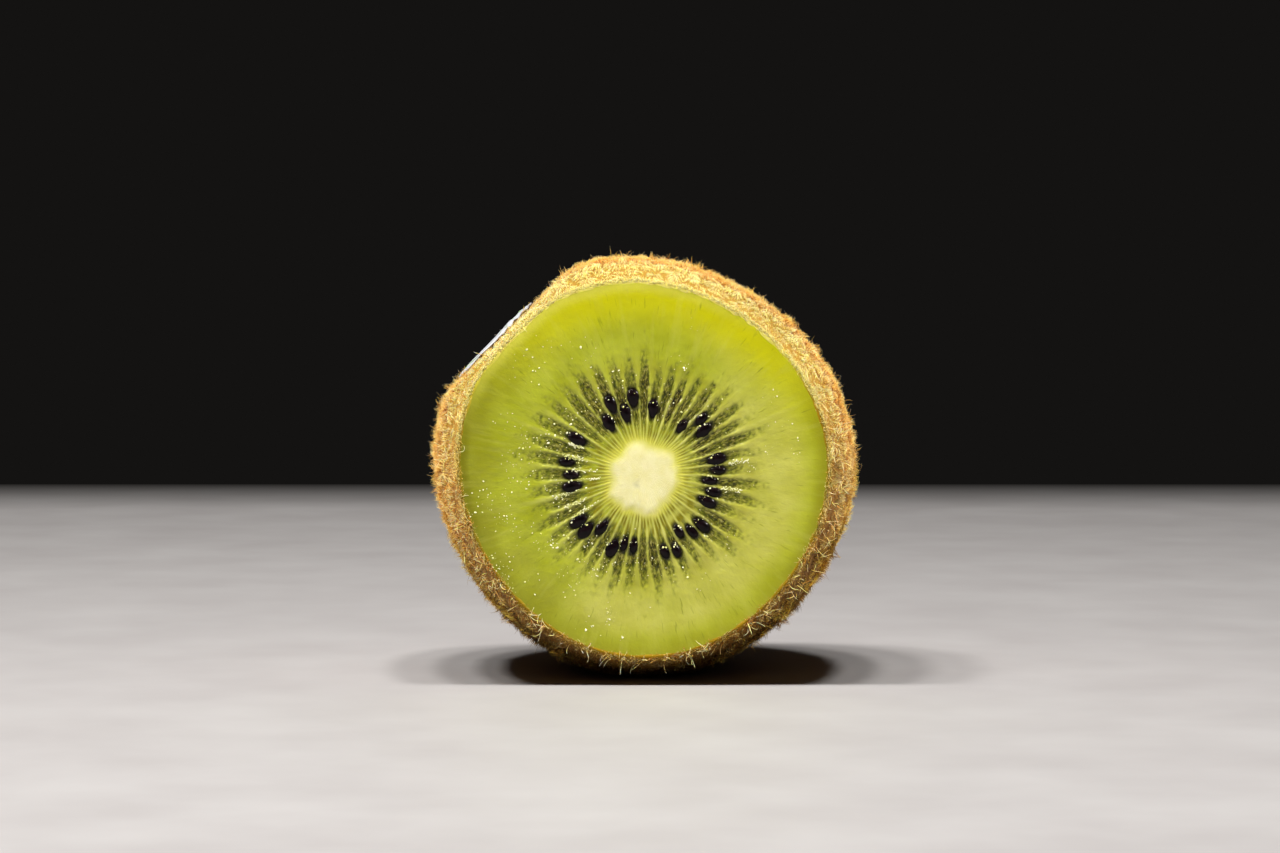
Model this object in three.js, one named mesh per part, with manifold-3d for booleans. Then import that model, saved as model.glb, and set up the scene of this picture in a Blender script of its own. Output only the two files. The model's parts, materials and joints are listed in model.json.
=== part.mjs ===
// A kiwi fruit lying on its side with one end sliced off, and the produce sticker on its flank.
//
// Millimetres. +Y runs along the fruit from the cut face to the far end, +X is to the right of
// someone who looks at the cut face, and +Z is up. The origin is on the table, under the middle
// of the fruit's length and width.

import * as THREE from 'three';
import { mergeVertices } from 'three/addons/utils/BufferGeometryUtils.js';
import Module from 'manifold-3d';

// ---- Driving dimensions ----

// The whole fruit, before the cut.
const NEAR_LENGTH = 29.5; // from the widest section to the tip that was cut off
const FAR_LENGTH = 20.5; // and to the stalk's end
const FRUIT_WIDTH = 47.8;
const FRUIT_HEIGHT = 47.6;
const WIDTH_ROUNDNESS = 2.36; // superellipse exponent of the outline seen from above
const HEIGHT_ROUNDNESS = 2.5; // and of the outline seen from the side

// The cut, and how far the middle of the section has wandered by the time it gets there.
const GIRTH_TO_CUT = 17.2; // from the fruit's widest section to the cut face
const BEND_X = -0.1;
const BEND_Z = 0.6;
const CUT_EDGE_RADIUS = 0.35;

// Flattened places.
const FOOT_DEPTH = 0.4; // how much a flat spot takes off the underside
const FLANK_ANGLE = degrees(135); // a flattened flank, where fruit grew against fruit
const FLANK_DISTANCE = 21.8; // from the fruit's axis at the widest section
const FLANK_TAPER = 0.32; // 0 keeps the flank parallel to the axis, 1 follows the fruit
const FLANK_BLEND = 1.2; // width of the soft edge round the flank

// Low swellings that run along the fruit: how many there are round it, how high they are, and
// where the first one is.
const SWELLINGS = [
  { count: 2, height: 0.32, angle: degrees(132) },
  { count: 3, height: 0.27, angle: degrees(15) },
  { count: 4, height: 0.15, angle: degrees(4) },
];
const SWELLING_TWIST = degrees(0.5); // how far they turn in a millimetre of the fruit's length

// Far end: a shallow hollow with the woody scar of the stalk in it.
const HOLLOW_DEPTH = 1.1;
const HOLLOW_RADIUS = 4.2;
const SCAR_RADIUS = 2.3;
const SCAR_HEIGHT = 0.55;
const SCAR_ROOT = 1.5; // how deep it runs into the fruit

// Cut face: a pale core, and a ring of seed chambers round it.
const CORE_RADIUS = 4.15;
const CORE_POINT = 0.42; // how far the core's corners stand out
const CORE_CORNERS = 7;
const CORE_TURN = degrees(-4);
const CORE_RISE = 0.15;
const CORE_EDGE = 0.3; // width of its sloping edge
const CORE_ROOT = 1; // how deep it runs into the fruit
const CHAMBERS = 43;
const CHAMBER_TURN = degrees(1.9);
// They stand a little closer together in some places than in others.
const CHAMBER_SWAYS = [
  { count: 1, size: degrees(2.4), angle: degrees(-111) },
  { count: 2, size: degrees(3.05), angle: degrees(20.5) },
];
const CHAMBER_START = 4.9; // from the core's middle
const CHAMBER_END = 12;
const CHAMBER_UNEVENNESS = 2.4; // between the nearest and the farthest end
const CHAMBER_WIDTH = 0.76;
const CHAMBER_DEPTH = 0.32;

// One letter a chamber, going round from the right, against the clock. It says how far from the
// core's middle the seed lies that the knife laid bare: the alphabet starts at 6 mm and each
// letter adds 0.3 mm. A capital is a large seed, and a dot is a chamber whose seed doesn't show.
const SEED_ROW = 'iI..Ikd...F.JEJD..I.jhH..KKF.Khh..klfiJ.Ghf';
const NEAREST_SEED = 6;
const SEED_STEP = 0.3;
const SEED_LENGTH = 1.75;
const LARGE_SEED_LENGTH = 2.2;
const SEED_SLIMNESS = 0.54; // width over length
const SEED_THICKNESS = 0.9;
const SEED_STANDS_OUT = 0.3;

// The sticker.
const STICKER_ANGLE = degrees(139.5);
const STICKER_LENGTH = 16; // along the fruit
const STICKER_WIDTH = 11.5;
const STICKER_BEFORE_GIRTH = 1; // from the widest section to the sticker's middle
const STICKER_THICKNESS = 0.25;
const STICKER_GAP = 0.3; // the fuzz holds it off the skin

// How finely the surfaces are divided.
const SEGMENTS_ROUND = 84;
const SEGMENTS_ALONG = 24;

// ---- Worked out from them ----

const CUT_LENGTH = FAR_LENGTH + GIRTH_TO_CUT;
const CUT_Y = -CUT_LENGTH / 2;
const GIRTH_Y = CUT_Y + GIRTH_TO_CUT;
const AXIS_Z = skinRadius(degrees(270), GIRTH_Y) - FOOT_DEPTH;

function degrees(angle) {
  return (angle * Math.PI) / 180;
}

// A number from 0 to 1 that looks random, and is always the same for the same index.
function chance(index) {
  const wave = Math.sin(index * 127.1) * 43758.5453;
  return wave - Math.floor(wave);
}

// ---- Skin ----

// How wide a superellipse is at y, as a share of its widest section. It is shorter behind it.
function barrel(y, roundness) {
  const length = y > GIRTH_Y ? FAR_LENGTH : NEAR_LENGTH;
  const along = Math.min(1, Math.abs(y - GIRTH_Y) / length);
  return Math.pow(1 - Math.pow(along, roundness), 1 / roundness);
}

// Where along the fruit a turn is: 0 the tip that was cut off, half a turn the far end.
function skinAlong(turn) {
  return GIRTH_Y - (turn > Math.PI / 2 ? FAR_LENGTH : NEAR_LENGTH) * Math.cos(turn);
}

// The smaller of two lengths, with a soft change from one to the other.
function softMin(a, b, blend) {
  const near = Math.max(blend - Math.abs(a - b), 0) / blend;
  return Math.min(a, b) - (near * near * blend) / 4;
}

function swellings(angle, y) {
  const turned = angle - SWELLING_TWIST * Math.max(0, y - GIRTH_Y);
  let height = 0;
  for (const swelling of SWELLINGS) {
    height += swelling.height * Math.cos(swelling.count * (turned - swelling.angle));
  }
  return height;
}

// From the fruit's axis to its skin.
function skinRadius(angle, y) {
  const halfWidth = (FRUIT_WIDTH / 2) * barrel(y, WIDTH_ROUNDNESS);
  const halfHeight = (FRUIT_HEIGHT / 2) * barrel(y, HEIGHT_ROUNDNESS);
  const across = halfHeight * Math.cos(angle);
  const up = halfWidth * Math.sin(angle);
  const round = (halfWidth * halfHeight) / Math.max(Math.hypot(across, up), 1e-9);
  const facing = Math.cos(angle - FLANK_ANGLE);
  const size = barrel(y, (WIDTH_ROUNDNESS + HEIGHT_ROUNDNESS) / 2);
  const uneven = round + swellings(angle, y) * size;
  if (facing < 0.2) return uneven;
  const flank = (FLANK_DISTANCE * Math.pow(size, FLANK_TAPER)) / facing;
  return softMin(uneven, flank, FLANK_BLEND);
}

// Where the middle of the section at y is.
function axisPoint(y) {
  const towardsCut = THREE.MathUtils.clamp((GIRTH_Y - y) / GIRTH_TO_CUT, 0, 1);
  const bend = towardsCut * towardsCut;
  return new THREE.Vector3(BEND_X * bend, y, AXIS_Z + BEND_Z * bend);
}

function skinPoint(angle, y, lift = 0) {
  const radius = skinRadius(angle, y) + lift;
  const offset = new THREE.Vector3(Math.cos(angle), 0, Math.sin(angle));
  return axisPoint(y).addScaledVector(offset, radius);
}

// Pushes the far end in round the axis.
function sinkFarEnd(point) {
  const radius = Math.hypot(point.x, point.z - AXIS_Z);
  const share = Math.exp(-Math.pow(radius / HOLLOW_RADIUS, 2));
  if (point.y > GIRTH_Y) point.y -= HOLLOW_DEPTH * share;
  return point;
}

// ---- Closed meshes and solids ----

// Joins rings of points, all of the same count, into one closed body between two end points.
// The rings run towards +Y, and each goes round from +X to +Z.
function loft(first, rings, last) {
  const count = rings[0].length;
  const points = [first, ...rings.flat(), last];
  const faces = [];
  for (let i = 0; i < count; i++) {
    const next = (i + 1) % count;
    faces.push(0, 1 + i, 1 + next);
    for (let r = 0; r + 1 < rings.length; r++) {
      const near = 1 + r * count;
      const far = near + count;
      faces.push(near + i, far + i, near + next);
      faces.push(near + next, far + i, far + next);
    }
    const end = 1 + (rings.length - 1) * count;
    faces.push(end + i, points.length - 1, end + next);
  }
  const geometry = new THREE.BufferGeometry().setFromPoints(points);
  geometry.setIndex(faces);
  return geometry;
}

const wasm = await Module();
wasm.setup();

function toSolid(geometry) {
  const bare = geometry.clone();
  bare.deleteAttribute('normal');
  bare.deleteAttribute('uv');
  const merged = mergeVertices(bare, 1e-4);
  const mesh = new wasm.Mesh({
    numProp: 3,
    vertProperties: merged.attributes.position.array,
    triVerts: new Uint32Array(merged.index.array),
  });
  return new wasm.Manifold(mesh);
}

function toGeometry(solid) {
  const mesh = solid.getMesh();
  const geometry = new THREE.BufferGeometry();
  geometry.setAttribute('position', new THREE.BufferAttribute(mesh.vertProperties, 3));
  geometry.setIndex(new THREE.BufferAttribute(mesh.triVerts, 1));
  geometry.computeVertexNormals();
  return geometry;
}

// ---- Fruit ----

function bodyGeometry() {
  const cutAngle = Math.acos(GIRTH_TO_CUT / NEAR_LENGTH);
  const rings = [];
  const ringAt = (y, lift) => {
    const ring = [];
    for (let i = 0; i < SEGMENTS_ROUND; i++) {
      ring.push(sinkFarEnd(skinPoint((i / SEGMENTS_ROUND) * 2 * Math.PI, y, lift)));
    }
    return ring;
  };
  rings.push(ringAt(CUT_Y, -CUT_EDGE_RADIUS));
  for (let i = 0; i < SEGMENTS_ALONG; i++) {
    const turn = THREE.MathUtils.lerp(cutAngle, Math.PI, i / SEGMENTS_ALONG);
    rings.push(ringAt(i === 0 ? CUT_Y + CUT_EDGE_RADIUS : skinAlong(turn), 0));
  }
  const farEnd = sinkFarEnd(new THREE.Vector3(0, GIRTH_Y + FAR_LENGTH, AXIS_Z));
  return loft(axisPoint(CUT_Y), rings, farEnd);
}

// Flattens the underside where the fruit lies on the table.
function aboveTable(solid) {
  const size = 4 * FRUIT_WIDTH;
  const box = new THREE.BoxGeometry(size, size, size).translate(0, 0, size / 2);
  return solid.intersect(toSolid(box));
}

// The point of the cut face at a distance and an angle from the core's middle.
function onCutFace(angle, distance, y = CUT_Y) {
  const x = distance * Math.cos(angle);
  const z = AXIS_Z + distance * Math.sin(angle);
  return new THREE.Vector3(x, y, z);
}

// An oval body with its long axis pointing away from the core. Its middle is sunk behind the cut.
function oval(angle, distance, length, width, thickness, sink) {
  const middle = onCutFace(angle, distance, CUT_Y + sink);
  return new THREE.SphereGeometry(1, 8, 4)
    .scale(length / 2, thickness / 2, width / 2)
    .rotateY(-angle)
    .translate(middle.x, middle.y, middle.z);
}

function chamberAngle(index) {
  const even = (index / CHAMBERS) * 2 * Math.PI;
  let angle = even + CHAMBER_TURN;
  for (const sway of CHAMBER_SWAYS) {
    angle += sway.size * Math.cos(sway.count * (even - sway.angle));
  }
  return angle;
}

function chamberGeometries() {
  const cutters = [];
  for (let i = 0; i < CHAMBERS; i++) {
    const end = CHAMBER_END + CHAMBER_UNEVENNESS * (chance(i) - 0.5);
    const middle = (CHAMBER_START + end) / 2;
    const length = end - CHAMBER_START;
    const thickness = 2 * CHAMBER_DEPTH;
    cutters.push(oval(chamberAngle(i), middle, length, CHAMBER_WIDTH, thickness, 0));
  }
  return cutters;
}

function seedGeometries() {
  const sink = SEED_THICKNESS / 2 - SEED_STANDS_OUT;
  const seeds = [];
  for (let i = 0; i < CHAMBERS; i++) {
    const letter = SEED_ROW[i];
    if (letter === '.') continue;
    const large = letter !== letter.toLowerCase();
    const length = large ? LARGE_SEED_LENGTH : SEED_LENGTH;
    const steps = letter.toLowerCase().charCodeAt(0) - 'a'.charCodeAt(0);
    const distance = NEAREST_SEED + SEED_STEP * steps;
    const width = SEED_SLIMNESS * length;
    seeds.push(oval(chamberAngle(i), distance, length, width, SEED_THICKNESS, sink));
  }
  return seeds;
}

function coreRadius(angle) {
  const corner = Math.abs(Math.cos(((angle - CORE_TURN) * CORE_CORNERS) / 2));
  return CORE_RADIUS + CORE_POINT * (2 * corner * corner - 1);
}

function coreGeometry() {
  const sides = CORE_CORNERS * 6;
  const ringAt = (y, inset) => {
    const ring = [];
    for (let i = 0; i < sides; i++) {
      const angle = (i / sides) * 2 * Math.PI;
      ring.push(onCutFace(angle, coreRadius(angle) - inset, y));
    }
    return ring;
  };
  const front = CUT_Y - CORE_RISE;
  const back = CUT_Y + CORE_ROOT;
  const rings = [ringAt(front, CORE_EDGE), ringAt(CUT_Y - CORE_RISE / 3, 0), ringAt(back, 0)];
  return loft(onCutFace(0, 0, front), rings, onCutFace(0, 0, back));
}

function scarGeometry() {
  const ledge = GIRTH_Y + FAR_LENGTH - HOLLOW_DEPTH;
  const profile = [
    new THREE.Vector2(0, -SCAR_ROOT),
    new THREE.Vector2(SCAR_RADIUS, -SCAR_ROOT),
    new THREE.Vector2(SCAR_RADIUS, SCAR_HEIGHT * 0.7),
    new THREE.Vector2(SCAR_RADIUS * 0.8, SCAR_HEIGHT),
    new THREE.Vector2(SCAR_RADIUS * 0.4, SCAR_HEIGHT * 0.6),
    new THREE.Vector2(0, SCAR_HEIGHT * 0.75),
  ];
  return new THREE.LatheGeometry(profile, 20).translate(0, ledge, AXIS_Z);
}

function kiwiMesh() {
  const chambers = wasm.Manifold.union(chamberGeometries().map(toSolid));
  const additions = [coreGeometry(), scarGeometry(), ...seedGeometries()].map(toSolid);
  const body = toSolid(bodyGeometry()).subtract(chambers);
  const fruit = aboveTable(wasm.Manifold.union([body, ...additions]));
  const skin = new THREE.MeshStandardMaterial({ color: '#9a6c35', roughness: 0.85, metalness: 0 });
  const mesh = new THREE.Mesh(toGeometry(fruit), skin);
  mesh.name = 'kiwi';
  return mesh;
}

// ---- Sticker ----

// An oval sheet that follows the flank. Both faces are divided alike.
function stickerGeometry() {
  const sides = 28;
  const steps = 3;
  const reach = skinRadius(STICKER_ANGLE, GIRTH_Y);
  const pointAt = (turn, share, lift) => {
    const angle = STICKER_ANGLE + (share * (STICKER_WIDTH / 2) * Math.cos(turn)) / reach;
    const y = GIRTH_Y - STICKER_BEFORE_GIRTH + share * (STICKER_LENGTH / 2) * Math.sin(turn);
    return skinPoint(angle, y, lift);
  };
  const ringAt = (share, lift) => {
    const ring = [];
    for (let i = 0; i < sides; i++) {
      ring.push(pointAt((i / sides) * 2 * Math.PI, share, lift));
    }
    return ring;
  };
  const inner = STICKER_GAP;
  const outer = STICKER_GAP + STICKER_THICKNESS;
  const shares = Array.from({ length: steps }, (_, i) => (i + 1) / steps);
  const under = shares.map((share) => ringAt(share, inner));
  const over = shares.map((share) => ringAt(share, outer)).reverse();
  return loft(pointAt(0, 0, inner), [...under, ...over], pointAt(0, 0, outer));
}

function stickerMesh() {
  const paper = new THREE.MeshStandardMaterial({ color: '#eeeeea', roughness: 0.5, metalness: 0 });
  const mesh = new THREE.Mesh(stickerGeometry(), paper);
  mesh.geometry.computeVertexNormals();
  mesh.name = 'sticker';
  return mesh;
}

const fruit = new THREE.Group();
fruit.add(kiwiMesh(), stickerMesh());

// Puts the middle of the fruit's length and width over the origin.
const middle = new THREE.Box3().setFromObject(fruit).getCenter(new THREE.Vector3());
fruit.position.set(-middle.x, -middle.y, 0);

export default fruit;
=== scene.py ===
"""A kiwi fruit that lies on its side with one end sliced off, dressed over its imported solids.

Lengths are millimetres until a mesh is made. +Y runs along the fruit from the cut face to the far
end, +X is to the right of someone who looks at the cut face, and +Z is up.
"""

import json
import math

import bpy
import numpy as np
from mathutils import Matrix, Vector, kdtree

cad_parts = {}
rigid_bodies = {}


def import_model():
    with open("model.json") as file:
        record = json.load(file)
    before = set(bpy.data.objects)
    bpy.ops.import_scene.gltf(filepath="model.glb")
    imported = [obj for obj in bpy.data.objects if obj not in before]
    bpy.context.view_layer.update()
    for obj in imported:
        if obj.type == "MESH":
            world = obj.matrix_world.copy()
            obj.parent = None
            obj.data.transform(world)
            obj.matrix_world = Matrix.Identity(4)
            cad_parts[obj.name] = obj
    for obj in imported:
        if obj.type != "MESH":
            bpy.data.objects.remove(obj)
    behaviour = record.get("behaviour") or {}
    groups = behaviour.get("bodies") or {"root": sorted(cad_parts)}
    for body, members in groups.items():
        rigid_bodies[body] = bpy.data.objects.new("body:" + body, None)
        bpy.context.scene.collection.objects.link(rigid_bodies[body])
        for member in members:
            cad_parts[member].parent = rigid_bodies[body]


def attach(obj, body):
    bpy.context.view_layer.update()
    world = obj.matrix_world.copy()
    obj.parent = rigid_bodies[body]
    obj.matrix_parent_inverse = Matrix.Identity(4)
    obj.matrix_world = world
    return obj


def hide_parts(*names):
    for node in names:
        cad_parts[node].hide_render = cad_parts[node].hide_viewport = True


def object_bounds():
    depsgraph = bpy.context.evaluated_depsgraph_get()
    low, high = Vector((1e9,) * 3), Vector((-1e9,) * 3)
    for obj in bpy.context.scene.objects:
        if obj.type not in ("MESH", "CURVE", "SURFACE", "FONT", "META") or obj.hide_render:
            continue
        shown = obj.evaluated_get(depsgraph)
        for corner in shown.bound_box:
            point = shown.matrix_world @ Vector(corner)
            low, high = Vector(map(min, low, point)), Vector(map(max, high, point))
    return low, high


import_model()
cad_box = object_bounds()

MM = 0.001
RIPPLE_WAVES = 9
rng = np.random.default_rng(11)

# ---- The fruit's form, the same as its solids ----

NEAR_LENGTH = 29.5
FAR_LENGTH = 20.5
FRUIT_WIDTH = 47.8
FRUIT_HEIGHT = 47.6
WIDTH_ROUNDNESS = 2.36
HEIGHT_ROUNDNESS = 2.5
GIRTH_TO_CUT = 17.2
BEND_X = -0.1
BEND_Z = 0.6
CUT_EDGE_RADIUS = 0.35
FOOT_DEPTH = 0.4
FLANK_ANGLE = math.radians(135)
FLANK_DISTANCE = 21.8
FLANK_TAPER = 0.32
FLANK_BLEND = 1.2
SWELLINGS = ((2, 0.32, math.radians(132)), (3, 0.27, math.radians(15)), (4, 0.15, math.radians(4)))
SWELLING_TWIST = math.radians(0.5)
HOLLOW_DEPTH = 1.1
HOLLOW_RADIUS = 4.2
SCAR_RADIUS = 2.3
CORE_X = -0.12
CORE_Z = -0.35
CORE_CORNERS = (
    (-148, 4.5), (-123, 4.15), (-74, 4.4), (-40, 3.75), (-4, 4.2), (36, 4.4), (99, 4.3), (153, 4.3),
)
CORE_DIP = 0.55
CORE_RISE = 0.15
CHAMBERS = 43
CHAMBER_TURN = math.radians(1.9)
CHAMBER_SWAYS = (
    (1, math.radians(2.4), math.radians(-111)),
    (2, math.radians(3.05), math.radians(20.5)),
)
SEED_ROW = "iI..Ikd...F.JEJD..I.jhH..KKF.Khh..klfiJ.Ghf"
NEAREST_SEED = 6
SEED_STEP = 0.3
SEED_LENGTH = 1.75
LARGE_SEED_LENGTH = 2.2
SEED_STANDS_OUT = 0.3
STICKER_ANGLE = math.radians(139.5)
STICKER_LENGTH = 16
STICKER_WIDTH = 11.5
STICKER_BEFORE_GIRTH = 1
STICKER_GAP = 0.38
STICKER_THICKNESS = 0.13
STICKER_CROWN = 0.28
STICKER_CRINKLE = 0.35

# ---- Detail that the solids leave out ----

FACE_SEGMENTS = 640
# The face's mesh is finest as far as this from its middle, where the chambers and seeds are.
FACE_DETAIL_END = 14.5
# The flesh's sides go back from the cut in these steps.
FLESH_DEPTHS = (0.4, 2.5, 5.0)
CHAMBER_DEPTH = 0.26
WALL_RISE = 0.05
SEED_HALF_THICKNESS = 0.45
SKIN_SEGMENTS = 260
SKIN_DEPTH = 5.6

# Pale veins that run on from the walls: direction in degrees, end in millimetres and strength.
PALE_VEINS = (
    (27, 20, 1.0), (2, 16.5, 0.8), (12, 15, 0.7), (-12, 15, 0.6), (152, 16, 0.7), (196, 14, 1.0),
)
# Where round the face the dark jelly starts: direction in degrees and distance from the middle.
JELLY_STARTS = (
    (0, 5.7), (45, 5.4), (90, 5.2), (140, 5.8), (180, 6.7), (220, 7.0), (270, 6.7), (315, 7.5),
    (360, 5.7),
)
# Walls with a film of juice on them, drawn as rows of pale beads that paint its glints: direction
# in degrees, start and end in millimetres.
WET_WALLS = (
    (155, 7.4, 9.0), (163, 6.4, 9.4), (172, 5.2, 8.0), (181, 4.8, 7.4), (191, 7.4, 10.6),
    (199, 6.6, 9.6), (208, 5.8, 9.4), (352, 9.0, 11.2), (8, 9.6, 12.0),
)
WET_BEADS = 34
JUICE_BEADS = 1150
JUICE_PATCHES = 60
# What the cut lip shows round the face, in degrees: 0 dark olive, 0.3 golden orange, 0.6 lime and
# 1 cream. The cream on top is painted light and the dark olive on the flanks is painted shade.
LIP_TONES_AND_LIGHT = (
    (0, 0.05), (30, 0.45), (55, 1.0), (130, 1.0), (150, 0.6), (170, 0.15), (190, 0.05), (215, 0.15),
    (240, 0.25), (300, 0.25), (325, 0.2), (345, 0.15), (360, 0.05),
)
# The coats of down: name, hairs, their shortest and longest length, the width of their roots, the
# points along each, how far a hair strays from straight out and how much it is drawn to its tuft.
COATS = (
    ("down_undercoat", 38000, (0.25, 0.5), 0.085, 2, 0.5, 0.3),
    ("down_coat", 40000, (0.35, 0.7), 0.08, 2, 0.45, 0.8),
    ("down_curled", 18000, (0.45, 0.9), 0.075, 3, 0.5, 0.85),
    ("down_long", 3200, (0.8, 1.6), 0.05, 4, 0.95, 0.15),
)
TUFTS = 2300
STRAY_TUFTS = 240
EDGE_HAIRS = 120
RIM_HAIRS = 6500
# Where round the cut the knife left clumps of long hairs, in degrees.
HAIR_CLUMPS = (
    196, 211, 219, 232, 238, 242, 252, 259, 263, 270, 278, 284, 289, 304, 311, 324, 335, 344, 353, 12,
)
EDGE_HAIR_STATIONS = 9
# A small dull spot of pith in the core.
PITH_X = -0.7
PITH_Z = -1.15
# The stalk's scar from its foot to its middle: radius and height.
SCAR_PROFILE = (
    (2.35, -0.9), (2.4, 0.1), (2.25, 0.5), (1.95, 0.66), (1.6, 0.55), (1.3, 0.3),
    (1.0, 0.26), (0.7, 0.42), (0.4, 0.4),
)

# The seeds stand out furthest at the front, so the cut lies that far behind the solids' front.
CUT_Y = cad_box[0].y / MM + SEED_STANDS_OUT
GIRTH_Y = CUT_Y + GIRTH_TO_CUT


def smooth(low, high, value):
    """0 below low, 1 above high, and an even change between them."""
    share = np.clip((value - low) / (high - low), 0, 1)
    return share * share * (3 - 2 * share)


def chance(index, kind):
    """A number from 0 to 1 that looks random, and is always the same for the same two numbers."""
    wave = math.sin(index * 127.1 + kind * 311.7) * 43758.5453
    return wave - math.floor(wave)


def ripples(points, size, seed):
    """Uneven waves from -1 to 1 with hollows about that many millimetres apart."""
    dice = np.random.default_rng(seed)
    total = np.zeros(points.shape[:-1])
    for _ in range(RIPPLE_WAVES):
        way = dice.normal(size=3)
        way *= math.pi / (size * np.linalg.norm(way)) * dice.uniform(0.7, 1.5)
        total += np.sin(points @ way + dice.uniform(0, 2 * math.pi))
    return total / math.sqrt(RIPPLE_WAVES)


def barrel(y, roundness):
    along = np.minimum(1, np.abs(y - GIRTH_Y) / np.where(y > GIRTH_Y, FAR_LENGTH, NEAR_LENGTH))
    return (1 - along**roundness) ** (1 / roundness)


def skin_radius(angle, y):
    """From the fruit's axis to its skin."""
    half_width = FRUIT_WIDTH / 2 * barrel(y, WIDTH_ROUNDNESS)
    half_height = FRUIT_HEIGHT / 2 * barrel(y, HEIGHT_ROUNDNESS)
    slant = np.hypot(half_height * np.cos(angle), half_width * np.sin(angle))
    even = half_width * half_height / np.maximum(slant, 1e-9)
    size = barrel(y, (WIDTH_ROUNDNESS + HEIGHT_ROUNDNESS) / 2)
    twisted = angle - SWELLING_TWIST * np.maximum(0, y - GIRTH_Y)
    for count, height, first in SWELLINGS:
        even = even + height * np.cos(count * (twisted - first)) * size
    facing = np.maximum(np.cos(angle - FLANK_ANGLE), 0.2)
    flank = FLANK_DISTANCE * size**FLANK_TAPER / facing
    near = np.maximum(FLANK_BLEND - np.abs(even - flank), 0) / FLANK_BLEND
    softened = np.minimum(even, flank) - near * near * FLANK_BLEND / 4
    return np.where(np.cos(angle - FLANK_ANGLE) < 0.2, even, softened)


AXIS_Z = float(skin_radius(math.radians(270), GIRTH_Y)) - FOOT_DEPTH
AXIS_X = float(skin_radius(math.pi, GIRTH_Y) - skin_radius(0.0, GIRTH_Y)) / 2
SCAR_PLACE = np.array([AXIS_X, GIRTH_Y + FAR_LENGTH - HOLLOW_DEPTH, AXIS_Z])


def skin_point(angle, y, lift=0.0):
    """A point of the skin, or lifted off it, with the far end's hollow and the flat underside."""
    angle, y, lift = np.broadcast_arrays(angle, y, lift)
    bend = np.clip((GIRTH_Y - y) / GIRTH_TO_CUT, 0, 1) ** 2
    radius = skin_radius(angle, y) + lift
    x = BEND_X * bend + radius * np.cos(angle)
    z = BEND_Z * bend + radius * np.sin(angle)
    sunk = HOLLOW_DEPTH * np.exp(-(x * x + z * z) / HOLLOW_RADIUS**2) * (y > GIRTH_Y)
    return xyz(AXIS_X + x, y - sunk, np.maximum(AXIS_Z + z, 0))


def skin_along(turn):
    """Where along the fruit a turn is: 0 the tip that was cut off, pi the far end."""
    return GIRTH_Y - np.where(turn > math.pi / 2, FAR_LENGTH, NEAR_LENGTH) * np.cos(turn)


CUT_TURN = math.acos(GIRTH_TO_CUT / NEAR_LENGTH)


def skin_frame(angle, turn):
    """Points of the skin with their outward normals, the way along the fruit and the way round."""
    step = 1e-3
    here = skin_point(angle, skin_along(turn))
    round_it = skin_point(angle + step, skin_along(turn)) - skin_point(angle - step, skin_along(turn))
    further = np.minimum(turn + step, math.pi - 1e-4)
    along = skin_point(angle, skin_along(further)) - skin_point(angle, skin_along(turn - step))
    normal = unit(np.cross(along, round_it))
    along = unit(along)
    return here, normal, along, np.cross(normal, along)


# ---- Meshes ----


def directions(count):
    """Directions evenly spaced round a circle."""
    return np.arange(count) / count * 2 * math.pi


def xyz(x, y, z):
    """Points from their coordinates."""
    return np.stack(np.broadcast_arrays(x, y, z), axis=-1)


def swing(a, b, angle):
    """The place (a, b) swung round the middle by an angle."""
    return a * math.cos(angle) - b * math.sin(angle), a * math.sin(angle) + b * math.cos(angle)


def unit(ways):
    return ways / np.maximum(np.linalg.norm(ways, axis=-1, keepdims=True), 1e-12)


def linear(code):
    """An sRGB hex colour as linear red, green, blue and alpha."""
    parts = [int(code[i : i + 2], 16) / 255 for i in (1, 3, 5)]
    return (*(p / 12.92 if p <= 0.04045 else ((p + 0.055) / 1.055) ** 2.4 for p in parts), 1.0)


def make_piece(name, body, material, marks=None):
    """A smooth mesh object from a body: points in millimetres and groups of faces with the same
    number of corners. marks are values kept on its points."""
    points, faces = body
    mesh = bpy.data.meshes.new(name)
    faces = [np.asarray(group, dtype=np.int32) for group in faces]
    sizes = np.concatenate([np.full(len(group), group.shape[1]) for group in faces])
    mesh.vertices.add(len(points))
    mesh.vertices.foreach_set("co", (np.asarray(points) * MM).astype(np.float32).ravel())
    mesh.loops.add(int(sizes.sum()))
    mesh.loops.foreach_set("vertex_index", np.concatenate([group.ravel() for group in faces]))
    mesh.polygons.add(len(sizes))
    starts = np.concatenate([[0], np.cumsum(sizes)[:-1]]).astype(np.int32)
    mesh.polygons.foreach_set("loop_start", starts)
    mesh.polygons.foreach_set("use_smooth", np.ones(len(sizes), dtype=bool))
    for mark, values in (marks or {}).items():
        kind, field = ("FLOAT", "value") if values.ndim == 1 else ("FLOAT_VECTOR", "vector")
        layer = mesh.attributes.new(mark, kind, "POINT")
        layer.data.foreach_set(field, values.astype(np.float32).ravel())
    mesh.update(calc_edges=True)
    mesh.validate()
    mesh.materials.append(material)
    piece = bpy.data.objects.new(name, mesh)
    bpy.context.scene.collection.objects.link(piece)
    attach(piece, "root")
    return piece


def loft(rings, first, last):
    """A closed body from rings of points that go round from +X to +Z and follow each other to +Y,
    and the end points that close it."""
    sides = len(rings[0])
    index = np.arange(len(rings) * sides).reshape(-1, sides)
    after = np.roll(index, -1, axis=1)
    quads = np.stack([index[:-1], index[1:], after[1:], after[:-1]], axis=-1).reshape(-1, 4)
    end = np.full(sides, index.size)
    start_fan = np.stack([end, index[0], after[0]], axis=-1)
    end_fan = np.stack([index[-1], end + 1, after[-1]], axis=-1)
    return np.concatenate([*rings, [first], [last]]), [quads, np.concatenate([start_fan, end_fan])]


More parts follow.
